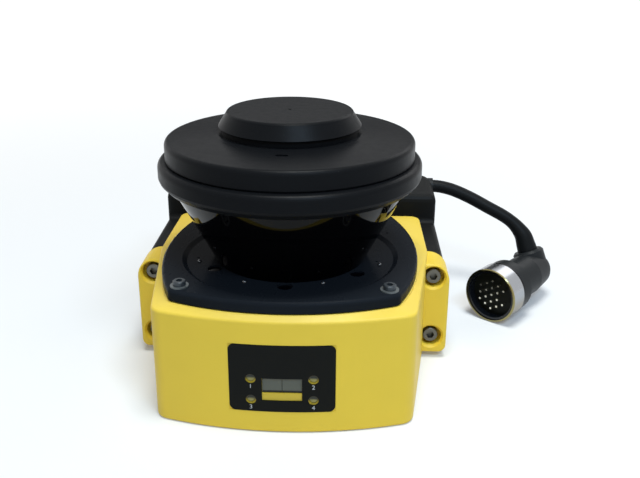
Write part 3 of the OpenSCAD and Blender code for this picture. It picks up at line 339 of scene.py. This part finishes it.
FINISH = {
    "base_housing": housing_yellow(),
    "bottom_cover": black_coat,
    "bottom_screws": screw_steel,
    "plate_gasket": seal_rubber,
    "optics_plate": polished(
        "gloss_plate", (0.0112, 0.0135, 0.0172), 0.27, specular_ior_level=0.012
    ),
    "plate_screws": Paint("black_screws", (0.035, 0.042, 0.048), 0.32, metallic=0.3),
    "plate_washers": Paint("washers", (0.12, 0.13, 0.13), 0.34, metallic=0.35),
    "scan_window": polished("window", (0.001, 0.001, 0.0012), 0.05, 0.04, specular_ior_level=0.08),
    "window_seal": seal_rubber,
    "sensor_windows": polished("optic_trim", (0.001, 0.001, 0.002), 0.08, specular_ior_level=0.2),
    "sensor_domes": Paint("dome", (0.02, 0.022, 0.026), 0.04, coat_weight=1.0),
    "head_ring": black_shell,
    "head_seal": seal_rubber,
    "head_cover": black_shell,
    "head_screws": screw_steel,
    "top_cap": black_shell,
    "lens_holder": black_aluminium,
    "receiver_lens": Paint("lens", (0.35, 0.42, 0.55), 0.03, coat_weight=0.8),
    "laser_module": metal("laser_brass", (0.62, 0.42, 0.16), 0.3),
    "receiver_board": board_green,
    "motor_bracket": metal("bare_aluminium", (0.62, 0.63, 0.65), 0.35),
    "bracket_screws": screw_steel,
    "motor_can": motor_steel,
    "motor_stator": metal("winding", (0.45, 0.17, 0.06), 0.35),
    "bearings": motor_steel,
    "encoder_sensor": connector_black,
    "rotor_shaft": motor_steel,
    "rotor_magnet": metal("magnet", (0.16, 0.16, 0.17), 0.5),
    "encoder_disc": black_aluminium,
    "mirror_holder": black_aluminium,
    "scan_mirror": Paint("mirror", (0.9, 0.91, 0.93), 0.02, metallic=1.0),
    "main_board": board_green,
    "board_screws": screw_steel,
    "display_board": board_green,
    "display_digits": display_grey(),
    "status_lamps": two_tone_lamps(),
    "front_label": moulded("label", (0.0052, 0.0056, 0.0046), 0.42, 0.25, 0.008, sheen=0.08),
    "ear_screws": screw_steel,
    "rear_housing": black_coat,
    "link_seal": seal_rubber,
    "link_connector": connector_black,
    "rear_cover": black_coat,
    "rear_cover_screws": screw_steel,
    "terminal_board": board_green,
    "lead_gland": connector_black,
    "lead": lead_black,
    "lead_boot": lead_black,
    "connector_hood": connector_black,
    "connector_shell": polished(
        "connector_gloss", (0.005, 0.0062, 0.0085), 0.2, specular_ior_level=0.45
    ),
    "contact_insert": moulded("insert_black", (0.006, 0.0068, 0.0045), 0.4, sheen=0.1),
    "contact_pins": metal("pin_metal", (0.78, 0.74, 0.6), 0.24),
    "coupling_ring": coupling_plate(),
}


def finish_with(thing, paint):
    thing.data.materials.clear()
    thing.data.materials.append(paint.material)


for name, thing in nodes.items():
    finish_with(thing, FINISH[name])


# ---------------------------------------------------------------- making pieces


def in_scene(name, data):
    """A new object of the scene."""
    thing = bpy.data.objects.new(name, data)
    bpy.context.scene.collection.objects.link(thing)
    return thing


def make_piece(name, build, paint, smooth_to=35):
    """A bmesh as a piece of the scanner's body, with edges sharp past an angle in degrees."""
    mesh = bpy.data.meshes.new(name)
    build.to_mesh(mesh)
    build.free()
    old_normals = mesh.attributes.get("custom_normal")
    if old_normals:
        mesh.attributes.remove(old_normals)
    mesh.polygons.foreach_set("use_smooth", [True] * len(mesh.polygons))
    mesh.set_sharp_from_angle(angle=math.radians(smooth_to))
    piece = in_scene(name, mesh)
    finish_with(piece, paint)
    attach(piece, "scanner")
    return piece


# ---------------------------------------------------------------- lead


def soften(points):
    """Each inner point moved halfway to the middle of its neighbours."""
    inner = [(a + 2 * b + c) / 4 for a, b, c in zip(points, points[1:], points[2:])]
    return [points[0], *inner, points[-1]]


def catmull(points, steps):
    """Smooth line through the points."""
    ends = [2 * points[0] - points[1], *points, 2 * points[-1] - points[-2]]
    line = []
    for a, b, c, d in zip(ends, ends[1:], ends[2:], ends[3:]):
        for k in range(steps):
            t = k / steps
            line.append(0.5 * (
                2 * b + (c - a) * t + (2 * a - 5 * b + 4 * c - d) * t * t
                + (3 * b - a - 3 * c + d) * t * t * t
            ))
    return line + [points[-1]]


def tube(line, radii, sides=40):
    """Closed round tube along a line given in millimetres."""
    build = bmesh.new()
    side = Vector((0, 1, 0))
    rings = []
    for k, point in enumerate(line):
        ahead = (line[min(k + 1, len(line) - 1)] - line[max(k - 1, 0)]).normalized()
        side = (side - ahead * side.dot(ahead)).normalized()
        up = ahead.cross(side)
        ring = []
        for i in range(sides):
            a = 2 * math.pi * i / sides
            spoke = math.cos(a) * side + math.sin(a) * up
            ring.append(build.verts.new((point + radii[k] * spoke) * MM))
        rings.append(ring)
    for low, high in zip(rings, rings[1:]):
        for i in range(sides):
            j = (i + 1) % sides
            build.faces.new((low[i], low[j], high[j], high[i]))
    build.faces.new(rings[0][::-1])
    build.faces.new(rings[-1])
    bmesh.ops.recalc_face_normals(build, faces=build.faces)
    return build


def elbow_points():
    """Where the boot enters the connector's elbow and where it ends in it."""
    elbow = CONNECTOR_FACE + CONNECTOR_LENGTH * along_connector
    neck = Vector((
        -math.sin(CONNECTOR_TURN) * math.sin(ELBOW_TILT),
        math.cos(CONNECTOR_TURN) * math.sin(ELBOW_TILT),
        math.cos(ELBOW_TILT),
    ))
    return [elbow + neck * up for up in ELBOW_BOOT]


def swell(along):
    """Radius of the boot, which grows smoothly from the lead's own as along goes from 0 to 1."""
    return LEAD_RADIUS + BOOT_SWELL * along * along * (3 - 2 * along)


line = catmull(soften([Vector(p) for p in ROUTE]) + elbow_points(), STEPS)
lead_line = line[: BOOT_FROM * STEPS + 1]
boot_line = line[BOOT_FROM * STEPS :]
lead_build = tube(lead_line, [LEAD_RADIUS] * len(lead_line))
lead = make_piece("lead_jacket", lead_build, lead_black)
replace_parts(lead, "lead")
boot_build = tube(boot_line, [swell(k / (len(boot_line) - 1)) for k in range(len(boot_line))])
boot = make_piece("boot_sleeve", boot_build, lead_black)
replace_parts(boot, "lead_boot")


# ---------------------------------------------------------------- rear housing


def is_folded_corner(point):
    """Whether a point in millimetres is on the round of a front corner of the flat top."""
    x, y = REAR_CORNER
    beside = abs(point.x) > x - 0.01
    behind = y - REAR_CORNER_ROUND < point.y < y + 0.1
    return beside and behind and point.z > REAR_TOP - 0.01


def rear_housing_skin():
    """Copy of the rear housing whose flat top closes in one point at each front corner.

    The round of the top edge is larger than that of the corner, so the corner's round turns
    inside out at the top.
    """
    build = bmesh.new()
    build.from_mesh(nodes["rear_housing"].data)
    x, y = REAR_CORNER
    for vertex in build.verts:
        if is_folded_corner(vertex.co / MM):
            vertex.co = Vector((math.copysign(x, vertex.co.x), y, REAR_TOP)) * MM
    bmesh.ops.remove_doubles(build, verts=build.verts, dist=0.001 * MM)
    return make_piece("rear_housing_skin", build, black_coat, smooth_to=11)


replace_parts(rear_housing_skin(), "rear_housing")


# ---------------------------------------------------------------- printed numerals


def on_front(x, z):
    """Point just proud of the bowed label, in metres."""
    y = LABEL_BOW_Y - math.sqrt((LABEL_BOW + PRINT_PROUD) ** 2 - x * x)
    return Vector((x, y, z)) * MM


def printed_text(words, x, z, size):
    """Flat printed characters wrapped on the label, as one mesh."""
    curve = bpy.data.curves.new("print", "FONT")
    curve.body = words
    curve.size = size
    curve.align_x = "CENTER"
    curve.align_y = "CENTER"
    thing = bpy.data.objects.new("print", curve)
    mesh = bpy.data.meshes.new_from_object(thing)
    for vertex in mesh.vertices:
        vertex.co = on_front(x + vertex.co.x, z + vertex.co.y)
    bpy.data.objects.remove(thing)
    return mesh


def lamp_numerals():
    """Numerals 1 to 4 beneath the lamps, in reading order."""
    build = bmesh.new()
    lamps = [(x, z) for z in LAMP_Z[::-1] for x in (-LAMP_X, LAMP_X)]
    for number, (x, z) in enumerate(lamps, start=1):
        marks = printed_text(str(number), x, z - NUMERAL_DROP, NUMERAL_SIZE)
        build.from_mesh(marks)
        bpy.data.meshes.remove(marks)
    return make_piece("lamp_numerals", build, print_white)


lamp_numerals()


# ---------------------------------------------------------------- studio, in metres


def stage_panel(name, corners, paint):
    """A flat four-cornered piece of the studio."""
    mesh = bpy.data.meshes.new(name)
    mesh.from_pydata(corners, [], [(0, 1, 2, 3)])
    panel = in_scene(name, mesh)
    finish_with(panel, paint)
    return panel


def pale_floor():
    """Floor that the camera and reflections see brighten with distance."""
    reach = 3
    depth = -0.0002
    paint = Paint("floor", (0.72, 0.72, 0.72), 0.9, specular_ior_level=0.1)
    x, y, _ = paint.axes()
    away = paint.maths("SQRT", x * x + y * y)
    glow = paint.smooth_step(away, 0.0, 1.2) * 0.72 + 0.12
    paint.set(emission_color=paint.seen() * glow, emission_strength=1.0)
    corners = [(-reach, -reach), (reach, -reach), (reach, reach), (-reach, reach)]
    stage_panel("studio_floor", [(*corner, depth) for corner in corners], paint)


def dark_flag():
    """Dark board behind the set that only the gloss of the head's flat tops shows."""
    half, back, low, high = 0.8, 1.5, 0.1, 0.55
    corners = [(-half, back, low), (half, back, low), (half, back, high), (-half, back, high)]
    flag = stage_panel("dark_flag", corners, Paint("flag", (0.02, 0.02, 0.02), 0.9))
    flag.visible_camera = False
    flag.visible_diffuse = False
    flag.visible_shadow = False


def white_world(lighting, shown):
    """World that lights with one strength and is seen and mirrored with another."""
    world = bpy.data.worlds.new("studio")
    bpy.context.scene.world = world
    world.use_nodes = True
    sky = world.node_tree
    background = sky.nodes["Background"]
    background.inputs["Color"].default_value = (1, 1, 1, 1)
    rays = sky.nodes.new("ShaderNodeLightPath").outputs
    seen = rays["Is Camera Ray"]
    for also in ("Is Glossy Ray", "Is Transmission Ray"):
        either = sky.nodes.new("ShaderNodeMath")
        either.operation = "MAXIMUM"
        sky.links.new(seen, either.inputs[0])
        sky.links.new(rays[also], either.inputs[1])
        seen = either.outputs[0]
    strength = sky.nodes.new("ShaderNodeMapRange")
    strength.inputs["To Min"].default_value = lighting
    strength.inputs["To Max"].default_value = shown
    sky.links.new(seen, strength.inputs["Value"])
    sky.links.new(strength.outputs["Result"], background.inputs["Strength"])


def softbox(name, place, aim, size, power, tint=(1.0, 1.0, 1.0)):
    """Rectangular lamp that the camera doesn't see; its power is in watts."""
    light = bpy.data.lights.new(name, "AREA")
    light.shape = "RECTANGLE"
    light.size, light.size_y = size
    light.energy = power
    light.color = tint
    lamp = in_scene(name, light)
    lamp.location = place
    lamp.rotation_euler = (Vector(aim) - Vector(place)).to_track_quat("-Z", "Y").to_euler()
    lamp.visible_camera = False


def set_camera(place, yaw, pitch, roll, lens):
    """Camera at a place, with its angles in degrees and its lens in millimetres."""
    data = bpy.data.cameras.new("camera")
    data.lens = lens
    data.sensor_width = 36
    data.clip_start = 0.01
    data.clip_end = 20
    camera = in_scene("camera", data)
    turn = Matrix.Rotation(math.radians(yaw), 4, "Z")
    tip = Matrix.Rotation(math.radians(90 - pitch), 4, "X")
    lean = Matrix.Rotation(math.radians(roll), 4, "Z")
    camera.matrix_world = Matrix.Translation(place) @ turn @ tip @ lean
    bpy.context.scene.camera = camera


pale_floor()
dark_flag()
white_world(lighting=0.2, shown=1.0)
softbox("key", (0.08, -0.15, 1.15), (0, 0, 0.05), (0.45, 0.4), 10.8, (0.97, 1.0, 0.98))
softbox("window", (0.26, -0.66, 0.8), (0, 0, 0.09), (0.5, 0.15), 5.4, (0.56, 0.77, 1.0))
softbox("card", (0.5, 0.64, 0.55), (0.1, 0.05, 0.02), (0.4, 0.34), 0.8)
set_camera((0.0252, -0.3478, 0.1976), yaw=2.05, pitch=21.27, roll=0.29, lens=47.8)
bpy.context.scene.view_settings.view_transform = "Standard"


# ---------------------------------------------------------------- close

lead_length = sum((b - a).length for a, b in zip(lead_line, lead_line[1:]))
tuple(lead_line[0] * MM)
[tuple(p * MM) for p in lead_line]
